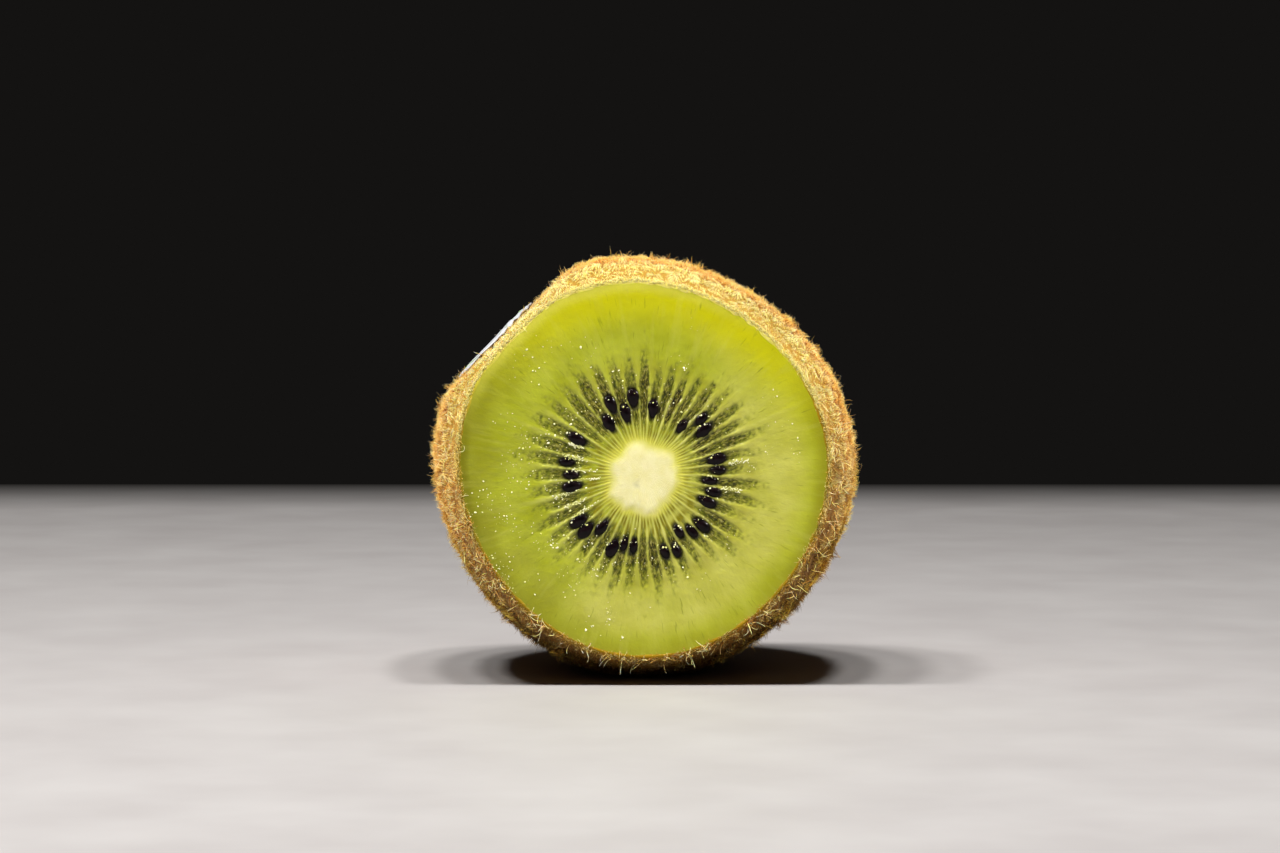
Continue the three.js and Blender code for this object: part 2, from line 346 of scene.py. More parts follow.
def join(bodies):
    """Many lofted bodies as one."""
    starts = np.cumsum([0] + [len(points) for points, _ in bodies])
    groups = zip(*(faces for _, faces in bodies))
    faces = [np.concatenate([f + s for f, s in zip(group, starts)]) for group in groups]
    return np.concatenate([points for points, _ in bodies]), faces


# ---- Materials ----


def add(material, kind, inputs=None, stops=None, out=0, **settings):
    """Adds a node and gives its output called out. inputs has a number, a colour or another node's
    output for each socket, or is an output for the first one. stops has a ramp's colours or
    numbers by their places."""
    tree = material.node_tree
    made = tree.nodes.new("ShaderNode" + kind)
    if isinstance(inputs, bpy.types.NodeSocket):
        inputs = {0: inputs}
    for name, value in settings.items():
        setattr(made, name, value)
    for socket, value in (inputs or {}).items():
        if isinstance(value, bpy.types.NodeSocket):
            tree.links.new(value, made.inputs[socket])
        else:
            made.inputs[socket].default_value = linear(value) if isinstance(value, str) else value
    if stops:
        elements = made.color_ramp.elements
        while len(elements) < len(stops):
            elements.new(1)
        for element, (place, colour) in zip(elements, sorted(stops.items())):
            element.position = place
            element.color = linear(colour) if isinstance(colour, str) else (colour,) * 3 + (1,)
    return made.outputs[out] if made.outputs else None


def new_material(name):
    """A material with no nodes yet but the one that gives the place on the piece."""
    material = bpy.data.materials.new(name)
    material.use_nodes = True
    material.node_tree.nodes.clear()
    return material, add(material, "TexCoord", out="Object")


def paint(material, colour, coats):
    """Lays coats on a colour. Each has its share, which is a number, an output or the name of a
    mark on the mesh's points, and its own colour."""
    for share, over in coats:
        if isinstance(share, str):
            share = add(material, "Attribute", out="Fac", attribute_name=share)
        inputs = {"Factor": share, 6: colour, 7: over}
        colour = add(material, "Mix", inputs, out=2, data_type="RGBA")
    return colour


def finish(material, inputs):
    """Adds the shader with its values and gives the finished material."""
    add(material, "OutputMaterial", {"Surface": add(material, "BsdfPrincipled", inputs)})
    return material


def kiwi_flesh():
    """Ripe kiwi flesh, sliced: translucent green with a wet gloss, pale walls that run out from
    a cream core, and between them chambers of dark, grainy jelly round the seeds."""
    flesh, place = new_material("kiwi_flesh")
    polar = add(flesh, "Attribute", out="Vector", attribute_name="polar")

    # Cloudy lighter and darker patches, 4 mm across.
    cloud = add(flesh, "TexNoise", {"Vector": place, "Scale": 250, "Detail": 3})
    body = add(flesh, "ValToRGB", cloud, {0.3: "#9fa61e", 0.52: "#acb32c", 0.72: "#b6bd3a"})
    paler = add(flesh, "ValToRGB", cloud, {0.3: "#b6b744", 0.52: "#c1c154", 0.72: "#cbcb64"})

    # Fibres: faint pale streaks that run outwards, 0.6 mm wide, and sparse dark dashes 2 mm long.
    streak = add(flesh, "TexNoise", {"Vector": polar, "Scale": 20, "Detail": 3})
    streak = add(flesh, "ValToRGB", streak, {0.52: 0.0, 0.8: 0.24})
    dash = add(flesh, "TexNoise", {"Vector": polar, "Scale": 62, "Detail": 2})
    dash = add(flesh, "ValToRGB", dash, {0.64: 0.0, 0.78: 0.6})

    # Chambers: jelly clouded with clots of pulp, 0.2 mm wide and drawn out to 0.5 mm.
    drawn_out = add(flesh, "VectorMath", {0: polar, 1: (1, 1, 4.8)}, operation="MULTIPLY")
    clots = {"Vector": drawn_out, "Scale": 48, "Detail": 4, "Roughness": 0.6}
    clots = add(flesh, "TexNoise", clots)
    tips = add(flesh, "ValToRGB", clots, {0.38: "#5f6a18", 0.5: "#858c28", 0.62: "#a8aa3c"})
    jelly = {0.42: "#120d02", 0.48: "#443c0e", 0.55: "#746b26", 0.66: "#b0a868"}
    jelly = add(flesh, "ValToRGB", clots, jelly)

    # The core is cream, mottled 1.4 mm across.
    mottle = add(flesh, "TexNoise", {"Vector": place, "Scale": 700, "Detail": 3})
    cream = add(flesh, "ValToRGB", mottle, {0.3: "#ede7a4", 0.62: "#f3eeb8"})
    # rim is painted light on top, shade is painted shade, and glow is partly painted light along the
    # top edge.
    coats = (
        ("pale", paler), ("shade", "#7e7d0c"), ("rim", "#ccc906"), (streak, "#cccb66"),
        (dash, "#7b8418"), ("inner", "#878010"), ("chamber", tips), ("jelly", jelly),
        ("halo", "#14120a"), ("wall", "#cacb6c"), ("glow", "#e0dc54"), ("core", cream),
        ("pith", "#bdbb8c"),
    )
    return finish(flesh, {
        "Base Color": paint(flesh, body, coats),
        "Roughness": 0.42,
        "IOR": 1.36,
        "Specular IOR Level": 0.3,
        "Subsurface Weight": 0.25,
        "Subsurface Radius": (1.0, 0.85, 0.2),
        "Subsurface Scale": 0.0005,
        "Coat Weight": 0.3,
        "Coat Roughness": 0.15,
        "Normal": add(flesh, "Bump", {"Height": clots, "Strength": 0.5, "Distance": 0.0001}),
    })


def kiwi_seed():
    """Ripe kiwi seeds: nearly black brown, hard and wet, with a finely pitted coat."""
    seed, place = new_material("kiwi_seed")
    # Clouded, 0.7 mm across.
    tint = add(seed, "TexNoise", {"Vector": place, "Scale": 1500, "Detail": 2})
    # Pits, 0.12 mm apart.
    pits = add(seed, "TexVoronoi", {"Vector": place, "Scale": 8300})
    return finish(seed, {
        "Base Color": add(seed, "ValToRGB", tint, {0.4: "#060204", 0.62: "#12070b", 0.8: "#241418"}),
        "Roughness": 0.5,
        "IOR": 1.45,
        "Specular IOR Level": 0.05,
        "Coat Weight": 0.4,
        "Coat Roughness": 0.12,
        "Coat IOR": 1.34,
        "Normal": add(seed, "Bump", {"Height": pits, "Strength": 0.1, "Distance": 0.00003}),
    })


def kiwi_skin():
    """Kiwi skin: thin brown leathery skin, freckled, nearly hidden by its down, with a band beside
    the cut on top that is painted light and a darkening towards the table that is painted shade. Its
    cut lip is olive on the flanks, as painted shade, orange below and cream on top, as painted light."""
    skin, place = new_material("kiwi_skin")
    # Freckles, half a millimetre across, on patches of 4 mm.
    freckle = add(skin, "TexNoise", {"Vector": place, "Scale": 2100, "Detail": 3})
    patch = add(skin, "TexNoise", {"Vector": place, "Scale": 240, "Detail": 2})
    brown = add(skin, "ValToRGB", freckle, {0.35: "#6b4119", 0.55: "#a06a2e", 0.7: "#c08a44"})
    green = paint(skin, brown, [(0.35, "#8f7a2c")])
    # The lip's tones carry painted light: cream on top, and painted shade: dark olive on the flanks.
    tone = add(skin, "Attribute", out="Fac", attribute_name="lip_tone_and_painted_light")
    lip = add(skin, "ValToRGB", tone, {0.0: "#7c760c", 0.3: "#a07c08", 0.6: "#d0c63c", 1.0: "#fdf27c"})
    # beside paints light: a yellow band beside the cut on top. low paints shade: darker towards the
    # table.
    coats = ((patch, green), ("beside", "#a47e2a"), ("low", "#6c4a1a"), ("lip", lip))
    return finish(skin, {
        "Base Color": paint(skin, brown, coats),
        "Roughness": 0.7,
        "Specular IOR Level": 0.2,
        "Normal": add(skin, "Bump", {"Height": freckle, "Strength": 0.5, "Distance": 0.0001}),
        "Subsurface Weight": 0.1,
        "Subsurface Radius": (1.0, 0.5, 0.15),
        "Subsurface Scale": 0.0008,
    })


def kiwi_down(name, root, middle, tip, glow=0.8):
    """Kiwi down: dry, stiff plant hairs, dark at the root and pale at the tip, brown, orange and
    cream hair by hair. The dark roots are partly painted shade among the hairs, the yellow of a
    soft band beside the cut on top is painted light, and the darkening towards the table is painted
    shade.
    glow is the share of the light that spreads inside the hairs."""
    down, place = new_material(name)
    marks = ("along", "tone", "near")
    along, tone, near = (add(down, "Attribute", out="Fac", attribute_name=mark) for mark in marks)

    # Patches 2.5 mm across, and over them the tones of single hairs.
    patch = add(down, "TexNoise", {"Vector": place, "Scale": 380, "Detail": 2})
    colour = add(down, "ValToRGB", patch, {0.36: "#ec8738", 0.5: middle, 0.64: "#f6c86c"})
    pale = {
        0: add(down, "ValToRGB", tone, {0.55: 0.0, 0.85: 0.85}),
        1: add(down, "ValToRGB", near, {0.0: 0.12, 1.0: 1.0}),
    }
    dark = paint(down, "#9c6420", [("beside", "#b8962c")])
    root = paint(down, root, [("beside", "#c4a036")])
    # beside paints light: a yellow band beside the cut on top. low paints shade towards the table. The
    # dark roots are partly painted shade among the hairs.
    coats = (
        (add(down, "ValToRGB", along, {0.4: 0.0, 1.0: 0.55}), tip),
        ("beside", "#e9dd7c"),
        (add(down, "ValToRGB", near, {0.0: 0.8, 0.9: 0.0}), "#b66018"),
        (add(down, "ValToRGB", tone, {0.15: 0.75, 0.27: 0.0}), dark),
        (add(down, "Math", pale, operation="MULTIPLY"), "#f4e89a"),
        (add(down, "ValToRGB", along, {0.0: 0.9, 0.4: 0.0}), root),
        ("low", "#482c0c"),
    )
    return finish(down, {
        "Base Color": paint(down, colour, coats),
        "Roughness": 0.5,
        "Specular IOR Level": 0.15,
        "Subsurface Weight": glow,
        "Subsurface Radius": (1.0, 0.6, 0.22),
        "Subsurface Scale": 0.0002,
    })


def label_paper():
    """Coated label paper: smooth, white and slightly glossy, with a plain green ring printed on."""
    paper, place = new_material("label_paper")
    # Paper fibres, 0.3 mm apart.
    fibre = add(paper, "TexNoise", {"Vector": place, "Scale": 3300, "Detail": 3})
    white = add(paper, "ValToRGB", fibre, {0.3: "#b4bac2", 0.6: "#c6cbd2"})
    share = add(paper, "Attribute", out="Fac", attribute_name="share")
    ring = add(paper, "ValToRGB", share, {0.76: 0.0, 0.77: 1.0, 0.82: 1.0, 0.83: 0.0})
    return finish(paper, {
        "Base Color": paint(paper, white, [(ring, "#6f9a3c")]),
        "Roughness": 0.4,
        "Normal": add(paper, "Bump", {"Height": fibre, "Strength": 0.15, "Distance": 0.00005}),
    })


def stalk_wood():
    """The stalk's scar: dry, corky wood, grey brown, mottled and rough about 1 mm across."""
    wood, place = new_material("stalk_wood")
    cork = add(wood, "TexNoise", {"Vector": place, "Scale": 900, "Detail": 4})
    brown = {0.35: "#6e5030", 0.5: "#9c7a4c", 0.68: "#c8a878"}
    return finish(wood, {
        "Base Color": add(wood, "ValToRGB", cork, brown),
        "Roughness": 0.85,
        "Normal": add(wood, "Bump", {"Height": cork, "Strength": 0.8, "Distance": 0.0002}),
    })


def painted_juice_glints():
    """Beads of juice, almost white with a little green that changes 1 mm across, as painted glints,
    and wet, so that each is a point of light."""
    juice, place = new_material("painted_juice_glints")
    tint = add(juice, "TexNoise", {"Vector": place, "Scale": 900, "Detail": 1})
    return finish(juice, {
        "Base Color": add(juice, "ValToRGB", tint, {0.35: "#d9dc7c", 0.6: "#fbfbcf"}),
        "Roughness": 0.2,
        "IOR": 1.36,
        "Coat Weight": 1.0,
        "Coat Roughness": 0.1,
    })


def table_laminate():
    """A matt pale table top: off-white laminate with a faint cloud in it, 17 mm across."""
    table, place = new_material("table_laminate")
    cloud = add(table, "TexNoise", {"Vector": place, "Scale": 60, "Detail": 3})
    white = add(table, "ValToRGB", cloud, {0.3: "#cac8ca", 0.7: "#d4d3d5"})
    # It darkens further back, and most in its last 50 mm: painted shade where the lamps' light falls
    # off.
    back = add(table, "SeparateXYZ", place, out="Y")
    back = add(table, "MapRange", {"Value": back, "From Min": -0.12, "From Max": TABLE_END * MM})
    back = add(table, "ValToRGB", back, {0.0: 0.0, 0.4: 0.25, 0.86: 0.38, 1.0: 1.0})
    return finish(table, {"Base Color": paint(table, white, [(back, "#1c1b1a")]), "Roughness": 0.6})


# ---- Cut face ----


def chamber_angles():
    """The direction of each chamber's middle: evenly spaced, with two slow sways."""
    even = directions(CHAMBERS)
    angle = even + CHAMBER_TURN
    for count, size, first in CHAMBER_SWAYS:
        angle = angle + size * np.cos(count * (even - first))
    return angle


def chamber_walls():
    """The angles of the walls, each after its chamber."""
    middles = np.sort(chamber_angles() % (2 * math.pi))
    return (middles + np.append(middles[1:], middles[0] + 2 * math.pi)) / 2


def nearest_wall(degrees):
    """The number and the angle of the wall nearest to a direction."""
    walls = chamber_walls()
    away = (walls - math.radians(degrees) + math.pi) % (2 * math.pi) - math.pi
    number = int(np.argmin(np.abs(away)))
    return number, walls[number]


def seed_places():
    """The chamber, distance from the face's middle and length of each seed that shows."""
    for chamber, letter in enumerate(SEED_ROW):
        if letter != ".":
            distance = NEAREST_SEED + SEED_STEP * (ord(letter.lower()) - ord("a"))
            yield chamber, distance, LARGE_SEED_LENGTH if letter.isupper() else SEED_LENGTH


def core_radius(angle):
    """From the core's middle to its edge: it juts out at its corners and dips between them."""
    corners, reach = np.array(CORE_CORNERS).T
    corners = np.radians(corners)
    turned = (angle - corners[0]) % (2 * math.pi) + corners[0]
    ends = np.append(corners, corners[0] + 2 * math.pi)
    low = np.clip(np.searchsorted(ends, turned, side="right") - 1, 0, len(corners) - 1)
    gap = ends[low + 1] - ends[low]
    share = (turned - ends[low]) / gap
    eased = smooth(0, 1, share)
    even = reach[low] * (1 - eased) + np.roll(reach, -1)[low] * eased
    return even - CORE_DIP * gap**2 * np.sin(math.pi * share) ** 1.5


def face_edge(angle):
    """From the face's middle to where the flesh ends at the skin, with the knife's ragged edge."""
    place = xyz(20 * np.cos(angle), 20 * np.sin(angle), 0)
    ragged = 0.07 + 0.07 * ripples(place, 2.6, 74) + 0.045 * ripples(place, 0.8, 75)
    inset = CUT_EDGE_RADIUS - np.clip(ragged, -0.12, 0.24)
    distance = np.full_like(angle, 20.0)
    for _ in range(12):
        x = distance * np.cos(angle) - BEND_X
        z = distance * np.sin(angle) - BEND_Z
        limit = skin_radius(np.arctan2(z, x) % (2 * math.pi), np.full_like(angle, CUT_Y))
        distance = distance + (limit - inset - np.hypot(x, z))
    return distance


def chamber_marks(flat, out, turn, past_core, left):
    """What the chambers and the walls between them show at each point, and how far it is sunk."""
    # The chamber that each point is in, and how far it is from the walls on either side.
    walls = chamber_walls()
    waver = np.radians(0.36) * ripples(flat, 2.4, 21) + np.radians(0.15) * ripples(flat, 0.9, 22)
    wavy = (turn + waver - walls[0]) % (2 * math.pi) + walls[0]
    low = np.clip(np.searchsorted(walls, wavy, side="right") - 1, 0, CHAMBERS - 1)
    ends = np.append(walls, walls[0] + 2 * math.pi)
    from_low = (wavy - ends[low]) * out
    from_high = (ends[low + 1] - wavy) * out
    to_wall = np.minimum(from_low, from_high)
    half = (from_low + from_high) / 2
    wall = np.where(from_low < from_high, low, (low + 1) % CHAMBERS)
    chamber = (low + 1) % CHAMBERS
    dice = np.array([[chance(i, k) for i in range(CHAMBERS)] for k in range(8)])

    # Chambers widen from the core to the seeds and end in a ragged point.
    starts = np.interp(np.degrees(turn), *zip(*JELLY_STARTS))
    end = 14.4 + 2.1 * (dice[0][chamber] - 0.5) - 0.1 * np.cos(turn) + 0.35 * np.abs(np.sin(turn))
    start = starts + 0.5 * (dice[1][chamber] - 0.5)
    wide = 0.74 + 0.2 * dice[3][chamber]
    wide = wide * smooth(start - 0.9, start + 1.2, out) * (1 - 0.5 * smooth(0.6, 1.0, out / end))
    grain = ripples(flat, 0.28, 31)
    inside = half * wide - (half - to_wall) + 0.06 * grain
    gone = out / end + 0.05 * grain + 0.04 * ripples(flat, 0.9, 32)
    shown = smooth(-0.17, 0.2, inside) * (1 - smooth(0.72, 1.02, gone)) * (0.8 + 0.2 * dice[2][chamber])
    shown = shown * smooth(start - 1.5, start + 0.3, out)
    deep = smooth(start, start + 1.3, out) * (1 - smooth(0.56 + 0.12 * dice[4][chamber], 0.9, gone))
    jelly = shown * deep * (0.75 + 0.25 * dice[5][chamber] + 0.15 * ripples(flat, 1.2, 33))
    jelly = jelly * (1 - 0.15 * smooth(0.5, 1.0, np.cos(turn)) - 0.28 * left)
    sunk = shown * smooth(5.4, 7.0, out) * (1 - smooth(0.7, 1.0, out / end))

    # Duller flesh round the core, most of it below, and between the chambers' dark parts.
    inner = smooth(0.0, 0.5, past_core) * (1 - smooth(2.0, 4.4, past_core))
    inner = inner * smooth(0.04, 0.16, to_wall) * np.clip(0.55 + 0.4 * ripples(flat, 0.8, 44), 0, 1)
    inner = np.clip(inner * (1 + 0.5 * smooth(0.4, 1.0, -np.sin(turn))), 0, 1)
    between = (0.3 + 0.12 * ripples(flat, 0.9, 49)) * (1 - 0.8 * left)
    between = between * smooth(6.5, 8.5, out) * (1 - smooth(11.5, 14.0, out))

    # Walls fade into the flesh; a few run on as pale veins.
    reach = 11.6 + 3.4 * dice[6] ** 2
    strength = 0.5 + 0.5 * dice[7]
    for vein, far, share in PALE_VEINS:
        near = nearest_wall(vein)[0]
        reach[near], strength[near] = far, share
    faded = 1 - smooth(0.72, 1.05, out / reach[wall] + 0.04 * ripples(flat, 2.0, 43))
    thick = (0.11 + 0.19 * smooth(5, 13, out)) * (1 - 0.45 * smooth(11, 16, out))
    pale = (1 - smooth(0.1 * thick, 1.6 * thick, to_wall)) * faded * strength[wall]
    pale = pale * smooth(-0.1, 0.4, past_core) * (0.8 + 0.2 * ripples(flat, 0.9, 45))
    pale = pale * (1 - (0.7 - 0.35 * left) * smooth(6.5, 9.5, out))
    # Finer threads run out from the core between the walls.
    thread = (1 - smooth(0.02, 0.1, half - to_wall)) * (0.3 + 0.5 * dice[2][chamber])
    thread = thread * smooth(-0.1, 0.3, past_core) * (1 - smooth(1.0, 2.8, past_core))
    marks = {
        "chamber": shown,
        "jelly": np.clip(jelly, 0, 1),
        "inner": np.maximum(inner, between),
        "wall": np.clip(np.maximum(pale, thread), 0, 1),
    }
    return marks, sunk


def edge_marks(flat, turn, share, left):
    """What the flesh shows near its edge. share is 0 in the face's middle and 1 on its edge."""
    # rim is painted light: yellower and brighter near the edge, most on top.
    top = 0.5 + 0.5 * np.sin(turn + 0.1)
    # shade is painted shade: darker near the edge on the left, along the lower edge and at the flanks'
    # very edge.
    shade = smooth(0.7, 1.0, share + 0.03 * ripples(flat, 3, 47)) * left * 0.72
    shade = np.maximum(shade, smooth(0.86, 1.0, share) * (1 - top) * 0.55)
    flanks = smooth(0.75, 1.0, -np.cos(turn)) + 0.7 * smooth(0.6, 1.0, np.cos(turn + 0.1))
    pale = smooth(-0.9, 0.9, np.cos(turn + math.radians(38)) + 0.4 * ripples(flat, 5, 48))
    return {
        "rim": smooth(0.7, 0.97, share) * (0.15 + 0.85 * smooth(0.6, 0.97, top)) * (1 - 0.8 * left),
        "shade": np.maximum(shade, smooth(0.9, 0.985, share) * flanks),
        "pale": pale * (1 - smooth(0.8, 0.95, share)),
    }


def seed_halo(flat):
    """The dark jelly close round each seed."""
    halo = np.zeros(flat.shape[:-1])
    for chamber, distance, length in seed_places():
        along, side = swing(flat[..., 0], flat[..., 2], -chamber_angles()[chamber])
        away = np.hypot((along - distance) / (length / 2 + 0.15), side / (0.27 * length + 0.1))
        halo = np.maximum(halo, 1 - smooth(0.85, 1.35, away))
    return halo * 0.9


def flesh_piece():
    """The flesh: its cut face, with core, walls and chambers in relief, and a plug behind it."""
    edge = face_edge(directions(FACE_SEGMENTS))
    inner = np.concatenate([np.arange(0.5, 3.2, 0.45), np.arange(3.3, FACE_DETAIL_END, 0.115)])
    outer = np.concatenate([np.linspace(0.03, 0.93, 19), [0.955, 0.975, 0.99, 1.0]])
    inner = np.repeat(inner[:, None], FACE_SEGMENTS, axis=1)
    outer = FACE_DETAIL_END + outer[:, None] * (edge - FACE_DETAIL_END)[None, :]
    out = np.concatenate([inner, outer])
    turn = np.broadcast_to(directions(FACE_SEGMENTS), out.shape)
    flat = xyz(out * np.cos(turn), 0, out * np.sin(turn))

    x, z = flat[..., 0], flat[..., 2]
    core_angle = np.arctan2(z - CORE_Z, x - CORE_X)
    past_core = np.hypot(z - CORE_Z, x - CORE_X) - core_radius(core_angle)
    past_core = past_core + 0.08 * ripples(flat, 0.7, 41)
    past_core = past_core + 0.4 * smooth(0.3, 1.0, -np.cos(core_angle))
    core = 1 - smooth(-1.1, 0.55, past_core + 0.1 * ripples(flat, 1.1, 42))
    glow = (1 - smooth(0.0, 1.5 - 0.5 * smooth(0.4, 1.0, -np.sin(core_angle)), past_core)) * 0.7
    # On top the very edge is painted brighter: painted light.
    share = out / np.broadcast_to(edge, out.shape)
    lit_edge = smooth(0.93, 0.995, share) * smooth(0.45, 1.0, np.cos(turn - math.radians(108)))
    left = smooth(0.1, 1.0, -np.cos(turn - math.radians(12)))
    marks, sunk = chamber_marks(flat, out, turn, past_core, left)
    marks.update(edge_marks(flat, turn, share, left))
    # glow is the core's yellow border and, along the top edge, painted light.
    marks.update(core=core, glow=np.maximum(glow, 0.8 * lit_edge), halo=seed_halo(flat))
    pith = np.hypot(x - PITH_X, z - PITH_Z) + 0.06 * ripples(flat, 0.4, 46)
    marks["pith"] = 0.5 * (1 - smooth(0.1, 0.55, pith))
    marks["polar"] = xyz(np.cos(turn), np.sin(turn), out / 115)

    # How far each point stands in front of the cut's plane: chambers are sunk, walls and core rise.
    rise = -CHAMBER_DEPTH * sunk + WALL_RISE * marks["wall"] + CORE_RISE * core
    rise = rise + marks["chamber"] * 0.045 * ripples(flat, 0.24, 51)
    rise = rise + (0.02 * ripples(flat, 1.6, 52) + 0.01 * ripples(flat, 0.5, 53)) * (1 - core)
    rise = (rise - 0.05 * marks["pith"]) * (1 - smooth(0.9, 1.0, share))

    front = flat + np.array([AXIS_X, 0, AXIS_Z])
    front[..., 1] = CUT_Y - rise
    sides = [front[-1] + np.array([0, depth, 0]) for depth in FLESH_DEPTHS]
    middle = (AXIS_X, CUT_Y - CORE_RISE, AXIS_Z)
    body = loft([*front, *sides], middle, (AXIS_X, CUT_Y + FLESH_DEPTHS[-1], AXIS_Z))
    for name, values in marks.items():
        values = values.reshape(out.size, -1)
        last = values[-FACE_SEGMENTS:]
        whole = [values] + [last] * len(sides) + [values[:1], last[:1]]
        marks[name] = np.concatenate(whole).squeeze()
    piece = make_piece("flesh", body, kiwi_flesh(), marks)
    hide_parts("kiwi")


def seeds_piece():
    """Each seed is a flattened drop, its point towards the core, and lies as its solid does."""
    circle = directions(18)
    bodies = []
    for chamber, distance, length in seed_places():
        slim = 0.56 + 0.1 * chance(chamber, 8)
        rings = []
        for turn in np.linspace(0, math.pi, 13)[1:-1]:
            stretch = -math.cos(turn)
            girth = math.sin(turn) * (1 + 0.14 * stretch) * (1 - 0.1 * stretch * stretch)
            thick, wide = SEED_HALF_THICKNESS * girth, slim * length / 2 * girth
            ring = xyz(stretch * length / 2, thick * np.cos(circle), -wide * np.sin(circle))
            rings.append(ring)
        body, faces = loft(rings, [-length / 2, 0, 0], [length / 2, 0, 0])
        body[:, 1] += 0.03 * ripples(body + 10 * chamber, 0.5, 61)
        x, y = swing(body[:, 0], body[:, 1], math.radians(6) * (chance(chamber, 9) - 0.5))
        out, side = swing(x, body[:, 2], 0.3 * (chance(chamber, 7) - 0.5))
        across, up = swing(distance + out, side, chamber_angles()[chamber])
        sink = SEED_HALF_THICKNESS - SEED_STANDS_OUT
        if length < LARGE_SEED_LENGTH:
            sink += 0.2 * chance(chamber, 10)
        bodies.append((xyz(AXIS_X + across, CUT_Y + sink + y, AXIS_Z + up), faces))
    make_piece("seeds", join(bodies), kiwi_seed())


def juice_piece():
    """Pale beads of juice on the cut face that paint its glints, thickest over the chambers and down
    the left. Every other bead lies over the chambers, and the rest in wet patches further out."""
    circle = directions(6)
    wet_angle = rng.normal(math.radians(195), math.radians(45), JUICE_PATCHES)
    wet_angle[::4] = rng.uniform(0, 2 * math.pi, len(wet_angle[::4]))
    wet_out = np.sqrt(rng.uniform(10.5**2, 19.3**2, JUICE_PATCHES))
    seeds = list(seed_places())
    bodies = []
    for bead in range(JUICE_BEADS):
        over_chambers = bead % 2
        if over_chambers:
            angle = rng.normal(math.radians(190), math.radians(75))
            out = rng.normal(9.6, 1.7)
        else:
            patch = rng.integers(JUICE_PATCHES)
            spread = rng.normal(0, 0.7, 2)
            angle = wet_angle[patch] + spread[0] / wet_out[patch]
            out = min(wet_out[patch] + spread[1], 20.0)
        radius = rng.choice([0.035, 0.055, 0.08, 0.12], p=[0.45, 0.34, 0.18, 0.03])
        height = radius * rng.uniform(0.6, 1.0)
        stretch = rng.uniform(1.0, 1.7)
        skew = rng.uniform(0, math.pi)
        if bead < len(WET_WALLS) * WET_BEADS:
            wall = WET_WALLS[bead // WET_BEADS]
            along_it = (bead % WET_BEADS + rng.uniform()) / WET_BEADS
            angle = nearest_wall(wall[0])[1] + rng.normal(0, 0.013)
            out = wall[1] + (wall[2] - wall[1]) * along_it
            radius = rng.uniform(0.04, 0.1)
            stretch, skew = rng.uniform(1.0, 2.6), angle + rng.normal(0, 0.6)
        elif bead % 8 == 1:
            # Painted glints on the wet upper rims of the seeds.
            chamber, distance, length = seeds[bead // 8 % len(seeds)]
            middle = chamber_angles()[chamber]
            clock = rng.normal(math.radians(100), 0.6)
            reach = 1.15 * rng.uniform(0.2, 0.32) * length
            rim_x = distance * math.cos(middle) + reach * math.cos(clock)
            rim_z = distance * math.sin(middle) + reach * math.sin(clock)
            angle, out = math.atan2(rim_z, rim_x), math.hypot(rim_x, rim_z)
            radius = rng.choice([0.04, 0.06, 0.12], p=[0.4, 0.3, 0.3])
            stretch = rng.uniform(1.0, 1.4)
            height = 0.33 + 0.6 * radius
        x, z = AXIS_X + out * math.cos(angle), AXIS_Z + out * math.sin(angle)
        bed = CUT_Y + (0.05 if over_chambers else 0.0)
        rings = []
        for share in (0.5, 0.0):
            wide = radius * math.sqrt(1 - share * share)
            ring_x, ring_z = swing(wide * stretch * np.cos(circle), wide * np.sin(circle), skew)
            rings.append(xyz(x + ring_x, bed - height * share, z + ring_z))
        bodies.append(loft(rings, [x, bed - height, z], [x, bed + 0.2, z]))
    make_piece("juice", join(bodies), painted_juice_glints())


# ---- Skin ----


def skin_piece():
    """The skin, from its cut lip to the far end, closed across behind the flesh."""
    angle = directions(SKIN_SEGMENTS)
    rings = []
    for depth, inset in ((SKIN_DEPTH, 1.2), (5.3, 0.56), (2.6, 0.54), (0.5, 0.54)):
        rings.append(skin_point(angle, CUT_Y, -inset) + np.array([0, depth, 0]))
    # The lip stands a little in front of the flesh, and flush with it on top. Each row has its
    # depth, its depth on top and how far in from the skin it is.
    lip = (
        (0.08, 0.1, 0.52), (0.0, 0.03, 0.4), (-0.05, 0.0, 0.26), (0.02, 0.01, 0.14), (0.15, 0.08, 0.04),
    )
    top = smooth(0.1, 0.7, np.sin(angle))
    ragged = 0.045 * ripples(skin_point(angle, CUT_Y), 1.2, 71)
    for depth, top_depth, inset in lip:
        depths = depth + (top_depth - depth) * top + ragged
        rings.append(skin_point(angle, CUT_Y, -inset) + xyz(0, depths, 0))
    turns = np.linspace(CUT_TURN, math.pi, 112)[:-1]
    turns[0] += 0.004
    for turn in turns:
        here, normal, _, _ = skin_frame(angle, np.full_like(angle, turn))
        bumps = 0.05 * ripples(here, 1.1, 72) + 0.12 * ripples(here, 4.5, 73)
        moved = here + normal * (bumps * smooth(0, 0.4, turn - CUT_TURN))[:, None]
        moved[:, 2] = np.maximum(moved[:, 2], 0.0)
        rings.append(moved)
    back = (AXIS_X, CUT_Y + SKIN_DEPTH, AXIS_Z)
    points, faces = loft(rings, back, skin_point(0.0, GIRTH_Y + FAR_LENGTH))
    round_it = np.degrees(np.arctan2(points[:, 2] - AXIS_Z, points[:, 0] - AXIS_X)) % 360
    marks = {
        "lip": 1 - smooth(0.1, 0.7, points[:, 1] - CUT_Y),
        "lip_tone_and_painted_light": np.interp(round_it, *zip(*LIP_TONES_AND_LIGHT)),
    }
    make_piece("skin", (points, faces), kiwi_skin(), down_marks(points, marks))


